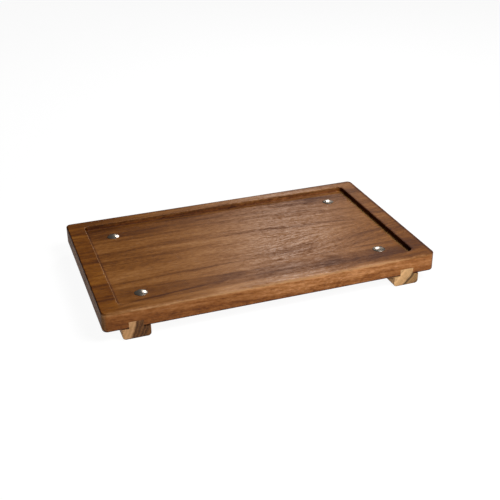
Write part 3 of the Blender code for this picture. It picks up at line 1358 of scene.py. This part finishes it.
@dataclass
class Studio:
    """A white table between two softboxes and a dim wall panel, and the camera.

    Attributes:
        camera_place: where the camera stands.
        camera_turn: its turn about X, Y and Z in degrees.
        lens: its focal length in millimetres.
        sensor: width of its sensor in millimetres.
        floor_side: length of the white table's side.
        floor_drop: how far the table's top lies under the runners.
        room_light: brightness of the room round the table.
        room_in_gloss: brightness of the room as glossy surfaces show it.
        lamps: the softboxes.
    """

    camera_place: Point = (-0.311, -0.90837, 0.51698)
    camera_turn: Point = (62.6328, 0.6561, -19.6998)
    lens: float = 62.694
    sensor: float = 36.0
    floor_side: float = 12.0
    floor_drop: float = 0.0001
    room_light: float = 0.024
    room_in_gloss: float = 0.072
    lamps: tuple[Softbox, ...] = (
        Softbox("back_softbox", (0.44, 0.80, 0.79), (0.0, 0.0, 0.03), 0.22, 0.40, 3.9),
        Softbox("front_softbox", (0.45, -0.60, 1.00), (0.0, 0.0, 0.03), 0.60, 0.60, 15.8),
        Softbox("wall_panel", (0.70, 1.12, 0.68), (0.0, 0.0, 0.03), 1.20, 0.90, 0.8),
    )

    TABLE_PAINT = (0.88, 0.88, 0.88)
    SHADOW_PAINT = (0.10, 0.10, 0.10)
    TABLE_GLOW = 0.94
    RIGHT_GAIN = 0.7

    def build(self) -> None:
        """Set up the table, the light and the camera."""
        self._floor()
        self._surroundings()
        for lamp in self.lamps:
            lamp.add()
        lens = bpy.data.cameras.new("camera")
        lens.lens = self.lens
        lens.sensor_width = self.sensor
        camera = bpy.data.objects.new("camera", lens)
        camera.location = self.camera_place
        camera.rotation_euler = [math.radians(angle) for angle in self.camera_turn]
        bpy.context.scene.collection.objects.link(camera)
        bpy.context.scene.camera = camera
        bpy.context.scene.view_settings.view_transform = "Standard"

    def _floor(self) -> None:
        """Lay the white table, which shows white to the eye and in gloss and still takes a soft shadow."""
        deselect()
        bpy.ops.mesh.primitive_plane_add(size=self.floor_side, location=(0.0, 0.0, -self.floor_drop))
        floor = named("white_table")
        material, graph = new_material("white_table")
        path = graph.node("ShaderNodeLightPath").outputs
        seen = graph.highest(path["Is Camera Ray"], path["Is Glossy Ray"], path["Is Transmission Ray"])
        paint = graph.mix(seen, self.TABLE_PAINT, self.SHADOW_PAINT)
        matt = graph.node("ShaderNodeBsdfDiffuse", Color=paint)
        glow = graph.node("ShaderNodeEmission", Strength=graph.product(seen, self.TABLE_GLOW))
        both = graph.node("ShaderNodeAddShader")
        graph.feed(both.inputs[0], matt.outputs["BSDF"])
        graph.feed(both.inputs[1], glow.outputs["Emission"])
        graph.node("ShaderNodeOutputMaterial", Surface=both.outputs["Shader"])
        floor.data.materials.append(material)

    def _surroundings(self) -> None:
        """Surround the table with a dim room, which gloss shows a little brighter and the eye as white."""
        world = bpy.data.worlds.new("studio")
        world.use_nodes = True
        bpy.context.scene.world = world
        graph = Graph(world.node_tree)
        path = graph.node("ShaderNodeLightPath").outputs
        sideways = graph.split(graph.node("ShaderNodeTexCoord").outputs["Generated"])[0]
        to_right = self.RIGHT_GAIN * self.room_in_gloss
        shown = graph.math("MULTIPLY_ADD", sideways, to_right, self.room_in_gloss)
        in_gloss = graph.product(path["Is Glossy Ray"], shown)
        bright = graph.highest(in_gloss, self.room_light, path["Is Camera Ray"])
        background = graph.node("ShaderNodeBackground", Color=(1.0, 1.0, 1.0, 1.0), Strength=bright)
        graph.node("ShaderNodeOutputWorld", Surface=background.outputs["Background"])


# Veins of the four staves
FRONT_VEINS_AND_HIGHLIGHTS = (
    Streak(-0.0740, 0.0085, -0.170, -0.010, 0.24, slant=-0.02),
    Streak(-0.0780, 0.0150, -0.170, -0.125, 0.13),
    Streak(-0.0665, 0.0019, -0.160, 0.005, 0.24, height=0.0255, tallness=7.0, slant=-0.035),
    Streak(-0.0872, 0.0016, -0.158, -0.066, 0.42, height=0.0233, tallness=6.0, slant=0.1),
    Streak(-0.0905, 0.0032, -0.165, -0.120, 0.20, height=0.0215, tallness=4.0),
    Streak(-0.0815, 0.0022, -0.080, 0.090, 0.18),
    Streak(-0.0860, 0.0060, 0.060, 0.185, 0.20),
    Streak(-0.0625, 0.0055, -0.110, 0.090, -0.24),
    Streak(-0.0645, 0.0055, 0.070, 0.230, -0.24, height=0.0390),
    Streak(-0.0975, 0.0050, -0.130, 0.070, -0.20),
    Streak(-0.0835, 0.0017, -0.215, -0.175, 0.26, height=0.0245, tallness=4.0),
    Streak(-0.0890, 0.0020, -0.215, -0.175, 0.32, height=0.0245, tallness=4.0),
    Streak(-0.0700, 0.0070, -0.300, -0.175, -0.10, height=0.0245),
    Streak(-0.1060, 0.0080, -0.070, 0.060, -0.18, height=0.0368),
    # The next two are painted highlight along the top of the front face, just under its edge.
    Streak(-0.1175, 0.0025, -0.190, 0.160, -0.60, height=0.0345, tallness=7.0),
    Streak(-0.1143, 0.0018, 0.110, 0.300, -0.50, height=0.0345, tallness=9.0, slant=0.0225),
    Streak(-0.1105, 0.0040, -0.060, 0.125, -0.22, height=0.0390, tallness=4.0),
    Streak(-0.1175, 0.0100, 0.000, 0.300, -0.34, height=0.0345, tallness=0.6),
    Streak(-0.1175, 0.0080, -0.250, -0.025, 0.07, height=0.0096, tallness=0.4),
    Streak(-0.1175, 0.0060, -0.200, 0.030, 0.20, height=0.0168, tallness=0.3),
    Streak(-0.1175, 0.0060, -0.130, 0.010, -0.13, height=0.0208, tallness=0.3),
    Streak(-0.1175, 0.0100, -0.055, 0.075, 0.36, height=0.0314, tallness=0.22, rise=0.08),
    Streak(-0.1175, 0.0100, 0.095, 0.155, 0.46, height=0.0302, tallness=0.3, rise=0.11),
    Streak(-0.1175, 0.0100, 0.045, 0.110, -0.22, height=0.0232, tallness=0.35),
    # The next one is painted highlight on the top strip of the front face.
    Streak(-0.1175, 0.0080, 0.040, 0.135, -0.50, height=0.0398, tallness=0.22, rise=0.065),
    Streak(-0.1175, 0.0100, 0.000, 0.090, -0.28, height=0.0269, tallness=0.25, rise=0.065),
    Streak(-0.1175, 0.0100, -0.010, 0.080, 0.24, height=0.0223, tallness=0.2, rise=0.065),
    # The next three are painted highlight on the top strip of the front face.
    Streak(-0.1175, 0.0080, -0.075, 0.015, -0.25, height=0.0325, tallness=0.2),
    Streak(-0.1175, 0.0080, 0.018, 0.055, -0.34, height=0.0351, tallness=0.17, rise=0.065),
    Streak(-0.1175, 0.0060, -0.260, 0.260, -0.30, height=0.0347, tallness=0.2, rise=0.065),
    Streak(-0.1085, 0.0050, -0.215, -0.165, 0.20, height=0.0245, tallness=3.0),
    Streak(-0.1070, 0.0040, -0.170, -0.030, -0.26, tallness=3.0),
    Streak(-0.0900, 0.0300, 0.120, 0.230, 0.24),
    Streak(-0.1100, 0.0060, 0.050, 0.220, 0.13, height=0.0443, tallness=1.0),
    Streak(-0.1175, 0.0100, 0.160, 0.230, 0.30, height=0.0285, tallness=0.7),
)

FRONT_MIDDLE_VEINS = (
    Streak(-0.0440, 0.0016, -0.180, 0.010, 0.30),
    Streak(-0.0280, 0.0070, -0.175, -0.060, -0.12),
    Streak(-0.0490, 0.0040, -0.200, -0.070, -0.12),
    Streak(-0.0060, 0.0120, -0.260, -0.090, 0.14),
    Streak(-0.0120, 0.0140, -0.075, 0.040, -0.14),
    Streak(-0.0400, 0.0070, 0.015, 0.080, 0.22),
    Streak(-0.0280, 0.0200, 0.010, 0.080, 0.12),
    Streak(-0.0760, 0.0100, 0.090, 0.250, 0.20),
    Streak(-0.0230, 0.0030, 0.015, 0.055, -0.12),
    Streak(-0.0520, 0.0045, 0.030, 0.080, 0.18),
    Streak(-0.0470, 0.0028, 0.018, 0.055, 0.30),
    Streak(-0.0317, 0.0040, 0.045, 0.080, -0.22),
    Streak(-0.0570, 0.0150, 0.020, 0.250, 0.20),
    Streak(-0.0510, 0.0050, -0.215, -0.175, 0.25, height=0.0368),
    Streak(-0.0500, 0.0300, 0.125, 0.230, 0.15),
)

BACK_MIDDLE_VEINS = (
    Streak(0.0300, 0.0028, -0.178, -0.110, 0.22),
    Streak(0.0070, 0.0060, -0.178, -0.070, 0.17),
    Streak(0.0220, 0.0180, -0.260, -0.085, 0.16),
    Streak(0.0460, 0.0060, -0.075, 0.030, -0.13),
    Streak(0.0200, 0.0030, -0.100, 0.005, -0.16),
    Streak(0.0080, 0.0100, -0.020, 0.130, -0.14),
    Streak(0.0280, 0.0040, 0.000, 0.060, 0.16),
    Streak(0.0270, 0.0045, 0.050, 0.190, 0.24),
    Streak(0.0040, 0.0020, 0.040, 0.080, 0.20),
    Streak(0.0010, 0.0035, 0.035, 0.072, 0.22),
    Streak(0.0250, 0.0032, 0.068, 0.102, 0.18),
    Streak(0.0020, 0.0050, -0.185, -0.155, 0.18),
    Streak(0.0600, 0.0140, 0.120, 0.250, 0.16),
    Streak(0.0460, 0.0100, 0.060, 0.130, -0.12),
    Streak(0.0200, 0.0300, 0.125, 0.250, 0.13),
)

BACK_VEINS = (
    Streak(0.0900, 0.0200, -0.190, -0.020, 0.16),
    Streak(0.0950, 0.0030, -0.190, -0.135, 0.25),
    Streak(0.0715, 0.0075, -0.175, -0.090, 0.24),
    Streak(0.0925, 0.0090, 0.110, 0.210, 0.20),
    Streak(0.0630, 0.0050, -0.300, 0.100, -0.10),
    Streak(0.0990, 0.0040, 0.020, 0.150, 0.16),
    Streak(0.0620, 0.0030, 0.085, 0.180, 0.22),
    Streak(0.0860, 0.0030, 0.005, 0.070, -0.14),
    Streak(0.1120, 0.0070, -0.080, 0.250, -0.32, height=0.0368),
    Streak(0.0810, 0.0040, -0.215, -0.175, 0.30, height=0.0368),
)

STAVES = {
    "front_stave": StaveWood(
        "front_stave_grain", pith=(-0.075, -0.045), lean=(0.0, -0.065), sweep=-0.004, curl=0.0024,
        tone=-0.09, seed=3.1, contrast=0.75, gloss_swing=0.38, rim_shades=(0.07, 0.11), streaks=FRONT_VEINS_AND_HIGHLIGHTS
    ),
    "front_middle_stave": StaveWood(
        "front_middle_stave_grain", pith=(-0.020, -0.080), lean=(0.015, 0.0), sweep=0.032, curl=0.0028,
        tone=0.14, seed=7.4, rim_shades=(0.28, 0.14), streaks=FRONT_MIDDLE_VEINS
    ),
    "back_middle_stave": StaveWood(
        "back_middle_stave_grain", pith=(0.060, -0.070), lean=(0.0, 0.0), sweep=-0.020, curl=0.0030,
        tone=0.13, seed=12.7, rim_shades=(0.19, 0.14), streaks=BACK_MIDDLE_VEINS
    ),
    "back_stave": StaveWood(
        "back_stave_grain", pith=(0.140, -0.060), lean=(-0.02, 0.0), sweep=-0.008, curl=0.0030,
        tone=-0.09, seed=18.3, contrast=1.05, rim_shades=(-0.07, 0.08), streaks=BACK_VEINS
    ),
}

RUNNERS = {
    "left_runner": RunnerWood(
        "left_runner_grain", Figure.HALF_HEARTWOOD, heart_edge=-0.0075, heart_slope=0.37, seed=0.0,
        sap=(0.625, 0.340, 0.157)
    ),
    "right_runner": RunnerWood(
        "right_runner_grain", Figure.HEART_STREAK, heart_edge=-0.0027, heart_slope=0.85, seed=1.0,
        sap=(0.715, 0.430, 0.198)
    ),
}

STUDS = ("front_left_stud", "front_right_stud", "back_left_stud", "back_right_stud")


def main() -> None:
    """Build the board's pieces in order, dress them and set up the studio."""
    logging.basicConfig(level=logging.INFO, format="%(name)s: %(message)s")
    seat = next(mount["pos_m"][2] for mount in frame["record"]["mounts"] if mount["name"] == "recess_floor")
    boxes = [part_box(node) for node in STAVES]
    slab_low, slab_high = boxes[0][0], boxes[-1][1]
    runners = [Runner(node, *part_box(node), slab_low.z) for node in RUNNERS]
    studs = [Stud(node, *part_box(node), seat) for node in STUDS]
    slab = Slab(slab_low, slab_high, seat)
    slab.dress(slab.build(runners, studs), STAVES)
    for runner in runners:
        runner.dress(runner.build(), RUNNERS[runner.node])
    steel = StudSteel().material()
    for stud in studs:
        stud.dress(stud.build(), steel)
    Studio().build()


if __name__ == "__main__":
    main()
